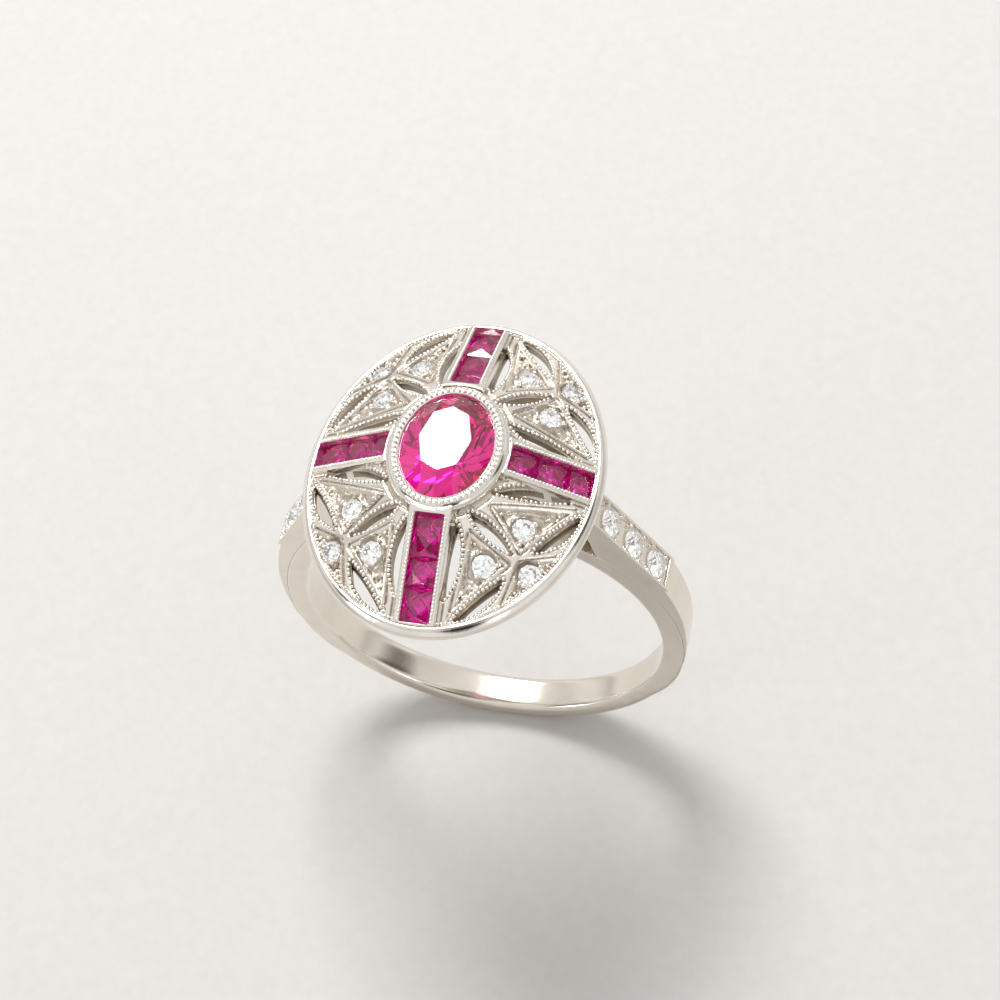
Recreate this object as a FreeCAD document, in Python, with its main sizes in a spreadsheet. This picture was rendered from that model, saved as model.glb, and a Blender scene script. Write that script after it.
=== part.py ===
import FreeCAD, Part
import math
import os

import Sketcher

# Cocktail ring with a domed, pierced oval head. The origin is the centre of the finger
# hole, +Y is the finger axis, +Z points out through the head, and +X is the east arm.

SIZES = {
    # finger band: an eccentric ring, thin under the head and thick at the back
    "finger_radius": 9.07,
    "band_width": 1.8,
    "band_outer_radius": 10.11,
    "band_outer_drop": 0.26,
    # head: oval rim band around a domed plate
    "rim_level": 12.2,
    "head_half_x": 7.0,
    "head_half_y": 8.6,
    "rim_inner_x": 6.62,
    "rim_inner_y": 8.2,
    "rim_height": 0.5,
    "rim_crest_x": 6.72,
    "rim_crest_y": 8.3,
    "rim_bevel_down": 0.3,
    # dome: three similar ellipses, as shares of the base ellipse, and their levels
    "dome_base_x": 6.57,
    "dome_base_y": 8.09,
    "dome_low_share": 1.15,
    "dome_low_level": 11.66,
    "dome_mid_share": 0.7,
    "dome_mid_level": 13.08,
    "dome_high_share": 0.35,
    "dome_high_level": 14.14,
    "plate_depth": 0.75,
    "recess_depth": 0.12,
    # channels that hold the square rubies
    "channel_half_width": 0.98,
    "channel_top": 0.17,
    "channel_floor": 0.93,
    "channel_bottom": 1.06,
    "lip_half_width": 0.67,
    "lip_depth": 0.22,
    "groove_half_width": 0.75,
    "groove_depth": 0.35,
    "well_half_width": 0.4,
    "well_depth": 0.66,
    "east_west_end": 6.5,
    "east_west_slope": 25.7,
    "east_west_run": 4.05,
    "north_south_end": 8.05,
    "north_south_slope": 23.6,
    "north_south_run": 4.97,
    "light_hole_radius": 0.3,
    # square rubies: lengths along each arm, from the bezel outwards
    "east_ruby_one": 1.45,
    "east_ruby_two": 1.46,
    "east_ruby_three": 1.14,
    "west_ruby_one": 1.1,
    "west_ruby_two": 1.45,
    "west_ruby_three": 1.5,
    "north_ruby_one": 1.27,
    "north_ruby_two": 1.62,
    "north_ruby_three": 2.08,
    "south_ruby_one": 2.0,
    "south_ruby_two": 1.37,
    "south_ruby_three": 1.6,
    "ruby_gap": 0.02,
    "ruby_half_width": 0.74,
    "ruby_table_half_width": 0.45,
    "ruby_table_inset": 0.28,
    "ruby_table_depth": 0.06,
    "ruby_girdle_depth": 0.28,
    "ruby_girdle": 0.05,
    "ruby_keel_half_width": 0.08,
    "ruby_keel_inset": 0.5,
    "ruby_pavilion": 0.57,
    # bezel: a tapered cup with a flared collar
    "cup_foot_x": 1.6,
    "cup_foot_y": 2.2,
    "cup_foot_level": 9.75,
    "cup_neck_x": 2.6,
    "cup_neck_y": 3.1,
    "cup_neck_level": 13.8,
    "collar_base_x": 2.84,
    "collar_base_y": 3.38,
    "collar_base_level": 14.08,
    "collar_top_x": 2.5,
    "collar_top_y": 3.15,
    "collar_top_level": 14.5,
    "collar_mouth_x": 2.15,
    "collar_mouth_y": 2.78,
    "collar_mouth_depth": 0.15,
    "cup_hole_x": 1.1,
    "cup_hole_y": 1.7,
    "cup_bore_x": 2.25,
    "cup_bore_y": 2.8,
    "cup_bore_level": 13.95,
    # oval ruby
    "oval_half_x": 2.42,
    "oval_half_y": 2.98,
    "oval_level": 14.2,
    "oval_girdle": 0.06,
    "oval_crown": 0.79,
    "oval_pavilion": 2.2,
    "oval_table_share": 0.54,
    # round diamonds of the head and of the shoulders
    "head_diamond_radius": 0.55,
    "shoulder_diamond_radius": 0.72,
    "diamond_crown_share": 0.32,
    "diamond_girdle_share": 0.06,
    "diamond_pavilion_share": 0.86,
    "diamond_table_share": 0.56,
    "seat_play": 0.005,
    "seat_hole_share": 0.5,
    "head_bead_radius": 0.13,
    "shoulder_bead_radius": 0.17,
    "arm_diamond_x": 4.02,
    "arm_diamond_y": 3.05,
    "side_diamond_x": 2.6,
    "side_diamond_y": 5.1,
    "rim_diamond_x": 4.6,
    "rim_diamond_y": 4.95,
    # cathedral shoulders, in the XZ plane
    "shoulder_start_angle": -12.0,
    "shoulder_swell_x": 10.3,
    "shoulder_swell_z": 1.4,
    "shoulder_step_x": 9.56,
    "shoulder_step_z": 5.11,
    "shoulder_bar_x": 9.7,
    "shoulder_bar_z": 5.17,
    "shoulder_line_x": 6.07,
    "shoulder_line_z": 11.45,
    "shoulder_top_outer_x": 6.17,
    "shoulder_top_outer_z": 11.34,
    "shoulder_top_inner_x": 5.1,
    "shoulder_top_inner_z": 11.86,
    "shoulder_waist_x": 6.12,
    "shoulder_waist_z": 9.3,
    "shoulder_root_x": 6.45,
    "shoulder_rail": 0.13,
    "shoulder_recess": 0.18,
    "shoulder_recess_start": 1.2,
    "shoulder_recess_end": 6.95,
    "shoulder_diamond_one": 2.35,
    "shoulder_diamond_two": 4.25,
    "shoulder_diamond_three": 6.1,
    "shoulder_diamond_sink": 0.12,
}

# The five openings of one quarter of the plate, each between two tips, with the bulge of
# its side towards the centre and of its side towards the rim.
OPENINGS = {
    "petal": ((1.66, 3.0), (3.66, 4.24), 0.27, 0.27),
    "side_slot": ((1.16, 3.62), (1.1, 6.8), 0.12, 0.42),
    "arm_slot": ((2.55, 1.8), (5.6, 1.12), 0.42, 0.14),
    "arm_marquise": ((4.66, 3.9), (6.26, 1.62), 0.08, 0.4),
    "side_marquise": ((3.5, 5.55), (1.66, 7.66), 0.08, 0.4),
}

# The recessed fields that hold the diamonds of one quarter, as corners.
FIELDS = {
    "arm_field": ((2.62, 2.52), (4.06, 4.08), (6.0, 1.52)),
    "side_field": ((1.86, 3.98), (3.58, 4.86), (1.62, 7.26)),
    "rim_field": ((4.22, 4.62), (5.86, 3.86), (5.3, 4.85), (4.55, 5.75), (3.78, 6.52)),
}

# Directions from each diamond to its setting beads, in degrees in the XY plane.
HEAD_BEADS = {
    "arm_diamond": (201, 88, -37),
    "side_diamond": (-123, -14, 112),
    "rim_diamond": (-50, -30, 103, 123),
}

ARMS = (("east", 0, "east_west"), ("north", 90, "north_south"), ("west", 180, "east_west"),
        ("south", 270, "north_south"))
COUNT = ("one", "two", "three")
Z_AXIS = FreeCAD.Vector(0, 0, 1)
TALL = 8.0  # reach of the vertical cutting prisms

doc = FreeCAD.newDocument("CocktailRing")
sheet = doc.addObject("Spreadsheet::Sheet", "Sizes")
parts = []


def fill_sheet():
    """Every driving size as a number with an alias."""
    cells = dict(SIZES)
    for name, (first, second, inner, outer) in OPENINGS.items():
        cells.update({f"{name}_first_x": first[0], f"{name}_first_y": first[1]})
        cells.update({f"{name}_second_x": second[0], f"{name}_second_y": second[1]})
        cells.update({f"{name}_inner_bulge": inner, f"{name}_outer_bulge": outer})
    for name, corners in FIELDS.items():
        for letter, (x, y) in zip("pqrvw", corners):
            cells.update({f"{name}_{letter}_x": x, f"{name}_{letter}_y": y})
    for row, (alias, value) in enumerate(cells.items(), start=1):
        sheet.set(f"A{row}", alias)
        sheet.set(f"B{row}", str(value))
        sheet.setAlias(f"B{row}", alias)
    doc.recompute()


def size(alias):
    return float(sheet.get(alias))


# ---------------------------------------------------------------- document helpers


def new_body(name):
    body = doc.addObject("PartDesign::Body", name)
    body.Label = name
    return body


def new_sketch(body, name, role="XY_Plane", offset=None):
    """A sketch on one of the body's origin planes, raised along its normal by offset."""
    sketch = body.newObject("Sketcher::SketchObject", name)
    plane = next(f for f in body.Origin.OriginFeatures if f.Role == role)
    sketch.AttachmentSupport = [(plane, "")]
    sketch.MapMode = "FlatFace"
    if offset is not None:
        sketch.setExpression("AttachmentOffset.Base.z", offset)
    return sketch


def hold(sketch, kind, *where, by=None):
    """Adds a constraint and, for a dimension, binds it to an expression."""
    index = sketch.addConstraint(Sketcher.Constraint(kind, *where))
    if by is not None:
        sketch.setExpression(f"Constraints[{index}]", by)


def draw_ellipse(sketch, half_x, half_y, share=""):
    """An ellipse at the origin with its half axes held to two aliases, times a share."""
    factor = size(share) if share else 1.0
    across, along = size(half_x) * factor, size(half_y) * factor
    centre = FreeCAD.Vector(0, 0, 0)
    curve = Part.Ellipse(FreeCAD.Vector(0, along, 0), FreeCAD.Vector(across, 0, 0), centre)
    shape = sketch.addGeometry(curve, False)
    sketch.exposeInternalGeometry(shape)
    major, minor = shape + 1, shape + 2
    times = f" * Sizes.{share}" if share else ""
    hold(sketch, "Coincident", shape, 3, -1, 1)
    hold(sketch, "Vertical", major)
    hold(sketch, "Distance", major, 2 * along, by=f"2 * Sizes.{half_y}{times}")
    hold(sketch, "Distance", minor, 2 * across, by=f"2 * Sizes.{half_x}{times}")


def pin(sketch, line, end, x_by, y_by, x_value, y_value):
    """Holds one end of a line or arc to two expressions, measured from the origin."""
    for kind, value, by in (("DistanceX", x_value, x_by), ("DistanceY", y_value, y_by)):
        hold(sketch, kind, -1, 1, line, end, value, by=by)


def draw_polygon(sketch, corners):
    """A closed polygon. Each corner is (x value, x expression, y value, y expression)."""
    points = [FreeCAD.Vector(x, y, 0) for x, _, y, _ in corners]
    lines = []
    for start, end in zip(points, points[1:] + points[:1]):
        lines.append(sketch.addGeometry(Part.LineSegment(start, end), False))
    for line, following in zip(lines, lines[1:] + lines[:1]):
        hold(sketch, "Coincident", line, 2, following, 1)
    for line, (x, x_by, y, y_by) in zip(lines, corners):
        pin(sketch, line, 1, x_by, y_by, x, y)


def plus(alias):
    return size(alias), f"Sizes.{alias}"


def minus(alias):
    return -size(alias), f"-Sizes.{alias}"


def pad(body, sketch, length, name, symmetric=False, backwards=False):
    feature = body.newObject("PartDesign::Pad", name)
    feature.Profile = sketch
    feature.setExpression("Length", length)
    feature.SideType = "Symmetric" if symmetric else "One side"
    feature.Reversed = backwards
    return feature


def pocket(body, sketch, length, name, backwards=False):
    """A pocket, whose direction is checked by the volume that it takes away."""
    doc.recompute()
    before = body.Shape.Volume
    feature = body.newObject("PartDesign::Pocket", name)
    feature.Profile = sketch
    feature.setExpression("Length", length)
    feature.Reversed = backwards
    doc.recompute()
    if not body.Shape.Volume < before - 1e-6:
        raise RuntimeError(f"{name} cuts nothing")
    return feature


def loft(body, sketches, name, kind="PartDesign::AdditiveLoft", ruled=True):
    feature = body.newObject(kind, name)
    feature.Profile = sketches[0]
    feature.Sections = sketches[1:]
    feature.Ruled = ruled
    return feature


def combine(kind, name, shapes):
    """A Part::Cut, Part::MultiFuse or Part::MultiCommon of several objects."""
    result = doc.addObject(kind, name)
    if kind == "Part::Cut":
        result.Base, result.Tool = shapes
    else:
        result.Shapes = shapes
    result.Label = name
    return result


def mirrored(source, name, normal):
    copy = doc.addObject("Part::Mirroring", name)
    copy.Source = source
    copy.Normal = normal
    copy.Label = name
    return copy


def keep(part):
    """Lists an object as one of the pieces of the ring."""
    parts.append(part)
    return part


# ---------------------------------------------------------------- dome geometry


def dome_share(x, y):
    return math.hypot(x / size("dome_base_x"), y / size("dome_base_y"))


def dome_height(x, y):
    """Level of the dome's outer surface: a parabola through its three sections."""
    low, mid, high = (size(f"dome_{at}_share") for at in ("low", "mid", "high"))
    low_z, mid_z, high_z = (size(f"dome_{at}_level") for at in ("low", "mid", "high"))
    upper = (mid_z - high_z) / (mid - high)
    lower = (low_z - mid_z) / (low - mid)
    bend = (lower - upper) / (low - high)
    share = dome_share(x, y)
    return high_z + upper * (share - high) + bend * (share - high) * (share - mid)


def dome_normal(x, y):
    step = 1e-4
    slope_x = (dome_height(x + step, y) - dome_height(x - step, y)) / (2 * step)
    slope_y = (dome_height(x, y + step) - dome_height(x, y - step)) / (2 * step)
    normal = FreeCAD.Vector(-slope_x, -slope_y, 1)
    normal.normalize()
    return normal


def dome_solid(name, drop):
    """Everything under the dome's surface once it is lowered by drop."""
    body = new_body(name)
    sections = []
    for at in ("low", "mid", "high"):
        sketch = new_sketch(body, f"{name}_{at}", offset=f"Sizes.dome_{at}_level - {drop}")
        draw_ellipse(sketch, "dome_base_x", "dome_base_y", f"dome_{at}_share")
        sections.append(sketch)
    loft(body, sections, f"{name}_loft", ruled=False)
    return body


# ---------------------------------------------------------------- stones


def facet(*corners):
    return Part.Face(Part.makePolygon(list(corners) + [corners[0]]))


def brilliant(half_x, half_y, table, crown, girdle, pavilion):
    """A brilliant: table, 8 star, 8 kite and 16 upper girdle facets, a 16-sided girdle,
    16 lower girdle and 8 main pavilion facets. The girdle's foot lies at z = 0."""
    half_turn = math.pi / 8
    star, lower = (table + 1) / 2, 0.35

    def at(radius, index, level):
        angle = index * half_turn
        return FreeCAD.Vector(
            half_x * radius * math.cos(angle), half_y * radius * math.sin(angle), level)

    star_level = girdle + crown * (1 - star * math.cos(half_turn)) / (1 - table)
    lower_level = -pavilion * (1 - lower * math.cos(half_turn))
    culet = FreeCAD.Vector(0, 0, -pavilion)
    faces = [facet(*[at(table, k, girdle + crown) for k in range(0, 16, 2)])]
    for k in range(0, 16, 2):
        top, next_top = at(table, k, girdle + crown), at(table, k + 2, girdle + crown)
        before, after = at(star, k - 1, star_level), at(star, k + 1, star_level)
        below, beside = at(lower, k - 1, lower_level), at(lower, k + 1, lower_level)
        faces.append(facet(top, after, next_top))
        faces.append(facet(top, before, at(1, k, girdle), after))
        faces.append(facet(culet, below, at(1, k, 0), beside))
        for side, high, low in ((-1, before, below), (1, after, beside)):
            faces.append(facet(high, at(1, k, girdle), at(1, k + side, girdle)))
            faces.append(facet(low, at(1, k, 0), at(1, k + side, 0)))
            faces.append(facet(at(1, k, 0), at(1, k + side, 0), at(1, k + side, girdle),
                               at(1, k, girdle)))
    solid = Part.Solid(Part.Shell(faces))
    if solid.Volume < 0:
        solid.reverse()
    return solid


def round_diamond(name, radius, placement):
    stone = doc.addObject("Part::Feature", name)
    stone.Label = name
    stone.Shape = brilliant(
        radius, radius, size("diamond_table_share"), radius * size("diamond_crown_share"),
        radius * size("diamond_girdle_share"), radius * size("diamond_pavilion_share"))
    stone.Placement = placement
    return stone


def oval_ruby():
    stone = doc.addObject("Part::Feature", "centre_ruby")
    stone.Label = "centre_ruby"
    stone.Shape = brilliant(
        size("oval_half_x"), size("oval_half_y"), size("oval_table_share"), size("oval_crown"),
        size("oval_girdle"), size("oval_pavilion"))
    stone.Placement = FreeCAD.Placement(
        FreeCAD.Vector(0, 0, size("oval_level")), FreeCAD.Rotation())
    return stone


def seat_tool(name, radius_alias, placement):
    """What a round stone's seat takes out of the metal: a cone under the girdle, a
    straight wall over it, and a light hole through to the back."""
    pavilion = size(radius_alias) * size("diamond_pavilion_share")
    cone = doc.addObject("Part::Cone", f"{name}_cone")
    cone.setExpression("Radius2", f"Sizes.{radius_alias} + Sizes.seat_play")
    cone.setExpression("Height", f"Sizes.{radius_alias} * Sizes.diamond_pavilion_share")
    cone.Radius1 = 0
    cone.Placement = placement * FreeCAD.Placement(
        FreeCAD.Vector(0, 0, -pavilion), FreeCAD.Rotation())
    wall = doc.addObject("Part::Cylinder", f"{name}_wall")
    wall.setExpression("Radius", f"Sizes.{radius_alias} + Sizes.seat_play")
    wall.Height = 1.0
    wall.Placement = placement
    hole = doc.addObject("Part::Cylinder", f"{name}_hole")
    hole.setExpression("Radius", f"Sizes.{radius_alias} * Sizes.seat_hole_share")
    hole.Height = 3.0
    hole.Placement = placement * FreeCAD.Placement(
        FreeCAD.Vector(0, 0, -3.0), FreeCAD.Rotation())
    return [cone, wall, hole]


def bead(name, radius_alias, place):
    """A grain of metal pushed up over a stone's edge: a stub that narrows to its top."""
    stub = doc.addObject("Part::Cone", name)
    stub.setExpression("Radius1", f"1.15 * Sizes.{radius_alias}")
    stub.setExpression("Radius2", f"0.5 * Sizes.{radius_alias}")
    stub.setExpression("Height", f"2 * Sizes.{radius_alias}")
    stub.Placement = place * FreeCAD.Placement(
        FreeCAD.Vector(0, 0, -size(radius_alias)), FreeCAD.Rotation())
    return stub


# ---------------------------------------------------------------- band and shoulders


def finger_band():
    """The full circle around the finger."""
    body = new_body("finger_band")
    sketch = new_sketch(body, "band_section", "XZ_Plane")
    top = FreeCAD.Vector(0, 0, 0)
    low = FreeCAD.Vector(0, -size("band_outer_drop"), 0)
    normal = FreeCAD.Vector(0, 0, 1)
    inner = sketch.addGeometry(Part.Circle(top, normal, size("finger_radius")), False)
    outer = sketch.addGeometry(Part.Circle(low, normal, size("band_outer_radius")), False)
    hold(sketch, "Coincident", inner, 3, -1, 1)
    hold(sketch, "PointOnObject", outer, 3, -2)
    hold(sketch, "DistanceY", outer, 3, -1, 1, size("band_outer_drop"),
         by="Sizes.band_outer_drop")
    hold(sketch, "Radius", inner, size("finger_radius"), by="Sizes.finger_radius")
    hold(sketch, "Radius", outer, size("band_outer_radius"), by="Sizes.band_outer_radius")
    pad(body, sketch, "Sizes.band_width", "band_pad", symmetric=True)
    return body


def band_surface_point(angle=None, x=None):
    """A point of the band's outer circle in the XZ plane, by its angle or by its x."""
    radius, drop = size("band_outer_radius"), size("band_outer_drop")
    if angle is not None:
        turn = math.radians(angle)
        return radius * math.cos(turn), radius * math.sin(turn) - drop
    return x, math.sqrt(radius**2 - x**2) - drop


def shoulder_blank():
    """One cathedral arm before its stones are set: from the side of the band, where it
    grows out of the outer circle, up a straight slope to the underside of the head."""
    body = new_body("shoulder_blank")
    sketch = new_sketch(body, "shoulder_outline", "XZ_Plane")
    start = band_surface_point(angle=size("shoulder_start_angle"))
    root = band_surface_point(x=size("shoulder_root_x"))
    middle_angle = (size("shoulder_start_angle") + math.degrees(math.acos(
        size("shoulder_root_x") / size("band_outer_radius")))) / 2
    middle = band_surface_point(angle=middle_angle)
    names = ("step", "bar", "top_outer", "top_inner", "waist")
    path = [(size(f"shoulder_{n}_x"), size(f"shoulder_{n}_z")) for n in names]
    swell = size("shoulder_swell_x"), size("shoulder_swell_z")
    points = [FreeCAD.Vector(x, z, 0) for x, z in [start] + path + [root]]
    arc = Part.Arc(points[0], FreeCAD.Vector(*swell, 0), points[1])
    edges = [sketch.addGeometry(arc, False)]
    for first, second in zip(points[1:-1], points[2:]):
        edges.append(sketch.addGeometry(Part.LineSegment(first, second), False))
    seam = Part.Arc(points[-1], FreeCAD.Vector(*middle, 0), points[0])
    edges.append(sketch.addGeometry(seam, False))
    # Both arcs run anticlockwise or clockwise as drawn, so their ends are read back.
    for edge, following in zip(edges, edges[1:] + edges[:1]):
        hold(sketch, "Coincident", *joint_ends(sketch, edge, following))
    for edge, name in zip(edges[1:], names):
        pin(sketch, edge, 1, f"Sizes.shoulder_{name}_x", f"Sizes.shoulder_{name}_z",
            size(f"shoulder_{name}_x"), size(f"shoulder_{name}_z"))
    pad(body, sketch, "Sizes.band_width", "shoulder_pad", symmetric=True)
    return body


def joint_ends(sketch, edge, following):
    """The ends, as (edge, 1 or 2), at which two drawn edges meet."""
    pairs = [(a, b) for a in (1, 2) for b in (1, 2)]
    nearest = min(pairs, key=lambda p: sketch.getPoint(edge, p[0]).distanceToPoint(
        sketch.getPoint(following, p[1])))
    return edge, nearest[0], following, nearest[1]


def shoulder_frame(along, raised):
    """Placement on the arm's straight slope: X runs down the slope and Z out of it."""
    top = FreeCAD.Vector(size("shoulder_line_x"), 0, size("shoulder_line_z"))
    bar = FreeCAD.Vector(size("shoulder_bar_x"), 0, size("shoulder_bar_z"))
    slope = (bar - top).normalize()
    outward = slope.cross(FreeCAD.Vector(0, 1, 0)) * -1
    if outward.x < 0:
        outward = outward * -1
    across = outward.cross(slope)
    turn = FreeCAD.Rotation(slope, across, outward, "ZXY")
    return FreeCAD.Placement(top + slope * along + outward * raised, turn)


def shoulders(channels):
    """Both cathedral arms with three diamonds each, the west one mirrored."""
    blank = shoulder_blank()
    recess = doc.addObject("Part::Box", "shoulder_recess_box")
    recess.setExpression("Length", "Sizes.shoulder_recess_end - Sizes.shoulder_recess_start")
    recess.setExpression("Width", "Sizes.band_width - 2 * Sizes.shoulder_rail")
    recess.Height = 1.0
    half = size("band_width") / 2 - size("shoulder_rail")
    frame = shoulder_frame(size("shoulder_recess_start"), -size("shoulder_recess"))
    recess.Placement = frame * FreeCAD.Placement(FreeCAD.Vector(0, -half, 0), FreeCAD.Rotation())
    seats, beads, stones = [recess], [], []
    sink = size("shoulder_diamond_sink")
    radius = size("shoulder_diamond_radius")
    for number in COUNT:
        place = shoulder_frame(size(f"shoulder_diamond_{number}"), -sink)
        name = f"shoulder_diamond_east_{number}"
        stones.append(keep(round_diamond(name, radius, place)))
        seats += seat_tool(f"{name}_seat", "shoulder_diamond_radius", place)
        for turn in (48, 132, 228, 312):
            reach = radius + 0.09
            spot = FreeCAD.Vector(reach * math.cos(math.radians(turn)),
                                  reach * math.sin(math.radians(turn)), 0)
            beads.append(bead(f"{name}_bead_{turn}", "shoulder_bead_radius",
                              place * FreeCAD.Placement(spot, FreeCAD.Rotation())))
    cutters = combine("Part::MultiFuse", "shoulder_cutters", seats)
    cut = combine("Part::Cut", "shoulder_cut", (blank, cutters))
    beaded = combine("Part::MultiFuse", "shoulder_beaded", [cut] + beads)
    crowns = combine("Part::MultiFuse", "shoulder_crowns", stones)
    seated = combine("Part::Cut", "shoulder_seated", (beaded, crowns))
    other = mirrored(seated, "shoulder_seated_west", FreeCAD.Vector(1, 0, 0))
    keep(combine("Part::Cut", "shoulder_east", (seated, channels["east"])))
    keep(combine("Part::Cut", "shoulder_west", (other, channels["west"])))
    for number, stone in zip(COUNT, stones):
        keep(mirrored(stone, f"shoulder_diamond_west_{number}", FreeCAD.Vector(1, 0, 0)))


# ---------------------------------------------------------------- rim and bezel


def oval_prism(name, half_x, half_y, base, height):
    """A vertical oval column, from the level base upwards."""
    body = new_body(name)
    sketch = new_sketch(body, f"{name}_outline", offset=base)
    draw_ellipse(sketch, half_x, half_y)
    pad(body, sketch, height, f"{name}_pad")
    return body


def rim_band():
    """The smooth oval band around the head, with a bevelled outer shoulder."""
    body = new_body("rim_band")
    levels = (("foot", "head_half", "Sizes.rim_level - Sizes.rim_height"),
              ("shoulder", "head_half", "Sizes.rim_level - Sizes.rim_bevel_down"),
              ("crest", "rim_crest", "Sizes.rim_level"))
    sections = []
    for name, half, level in levels:
        sketch = new_sketch(body, f"rim_{name}", offset=level)
        draw_ellipse(sketch, f"{half}_x", f"{half}_y")
        sections.append(sketch)
    loft(body, sections, "rim_loft")
    opening = new_sketch(body, "rim_opening", offset="Sizes.rim_level")
    draw_ellipse(opening, "rim_inner_x", "rim_inner_y")
    pocket(body, opening, "Sizes.rim_height + 1", "rim_pocket")
    return body


def bezel_blank():
    """The outside of the cup that carries the oval ruby, without its bore."""
    body = new_body("bezel_blank")
    sections = []
    for at in ("cup_foot", "cup_neck", "collar_base", "collar_top"):
        sketch = new_sketch(body, f"blank_{at}", offset=f"Sizes.{at}_level")
        draw_ellipse(sketch, f"{at}_x", f"{at}_y")
        sections.append(sketch)
    loft(body, sections, "blank_loft")
    return body


def bezel_envelope(blank):
    """The bezel's outside and the open space above its collar, where no arm may reach."""
    above = oval_prism("collar_clearance", "collar_base_x", "collar_base_y",
                       "Sizes.collar_base_level", "2")
    return combine("Part::MultiFuse", "bezel_envelope", [blank, above])


def bezel_bore():
    """The tapering hollow of the cup and the mouth over the stone's girdle."""
    body = new_body("bezel_bore")
    low = new_sketch(body, "bore_low", offset="Sizes.cup_foot_level - 0.5")
    draw_ellipse(low, "cup_hole_x", "cup_hole_y")
    high = new_sketch(body, "bore_high", offset="Sizes.cup_bore_level")
    draw_ellipse(high, "cup_bore_x", "cup_bore_y")
    loft(body, [low, high], "bore_loft")
    return body


def centre_bezel(blank, ruby, band):
    mouth = oval_prism("bezel_mouth", "collar_mouth_x", "collar_mouth_y",
                       "Sizes.collar_top_level - Sizes.collar_mouth_depth", "1")
    hollow = combine("Part::MultiFuse", "bezel_hollow", [bezel_bore(), mouth])
    cup = combine("Part::Cut", "bezel_cup", (blank, hollow))
    seated = combine("Part::Cut", "bezel_seated", (cup, ruby))
    return combine("Part::Cut", "centre_bezel", (seated, band))


# ---------------------------------------------------------------- ruby channels


def arm_frame(turn, kind):
    """Placement at the outer end of an arm: X runs down and outwards along the arm's
    slope, Y across it, and Z out of the dome."""
    tilt = FreeCAD.Rotation(FreeCAD.Vector(0, 1, 0), size(f"{kind}_slope"))
    spin = FreeCAD.Rotation(Z_AXIS, turn)
    end = spin.multVec(FreeCAD.Vector(size(f"{kind}_end"), 0, size("rim_level")))
    return FreeCAD.Placement(end, spin * tilt)


def channel(name, turn, kind, head_prism, envelope):
    """A straight trough with undercut rails, a light hole under each stone and an end
    wall at the rim, cut to meet the bezel and the rim band."""
    body = new_body(f"trough_{name}")
    block = new_sketch(body, f"block_{name}", "YZ_Plane", offset="0.4")
    draw_polygon(block, [
        (*minus("channel_half_width"), *minus("channel_bottom")),
        (*plus("channel_half_width"), *minus("channel_bottom")),
        (*plus("channel_half_width"), *plus("channel_top")),
        (*minus("channel_half_width"), *plus("channel_top"))])
    pad(body, block, f"Sizes.{kind}_run + 1.2", f"bar_{name}", backwards=True)
    cavity = new_sketch(body, f"cavity_{name}", "YZ_Plane")
    above = (0.5, "0.5")
    right = [("lip_half_width", None), ("lip_half_width", "lip_depth"),
             ("groove_half_width", "lip_depth"), ("groove_half_width", "groove_depth"),
             ("well_half_width", "well_depth"), ("well_half_width", "channel_floor")]
    corners = [(*plus(x), *(minus(z) if z else above)) for x, z in right]
    corners += [(*minus(x), *(minus(z) if z else above)) for x, z in reversed(right)]
    draw_polygon(cavity, corners)
    pocket(body, cavity, f"Sizes.{kind}_run", f"groove_{name}")
    lights = new_sketch(body, f"lights_{name}", offset="-Sizes.channel_floor + 0.1")
    reach = "Sizes.{0}_run".format(kind)
    centre = size(f"{kind}_run")
    for number in COUNT:
        length = f"{name}_ruby_{number}"
        centre -= size(length) / 2
        spot = FreeCAD.Vector(-centre, 0, 0)
        ring = sketch_circle(lights, spot, "light_hole_radius")
        hold(lights, "PointOnObject", ring, 3, -1)
        hold(lights, "DistanceX", ring, 3, -1, 1, centre, by=f"{reach} - Sizes.{length} / 2")
        reach = f"{reach} - Sizes.{length}"
        centre -= size(length) / 2
    pocket(body, lights, "1", f"azures_{name}")
    body.Placement = arm_frame(turn, kind)
    trimmed = combine("Part::MultiCommon", f"trimmed_{name}", [body, head_prism])
    return combine("Part::Cut", f"channel_{name}", (trimmed, envelope))


def sketch_circle(sketch, centre, radius_alias):
    circle = Part.Circle(centre, Z_AXIS, size(radius_alias))
    ring = sketch.addGeometry(circle, False)
    hold(sketch, "Radius", ring, size(radius_alias), by=f"Sizes.{radius_alias}")
    return ring


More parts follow.
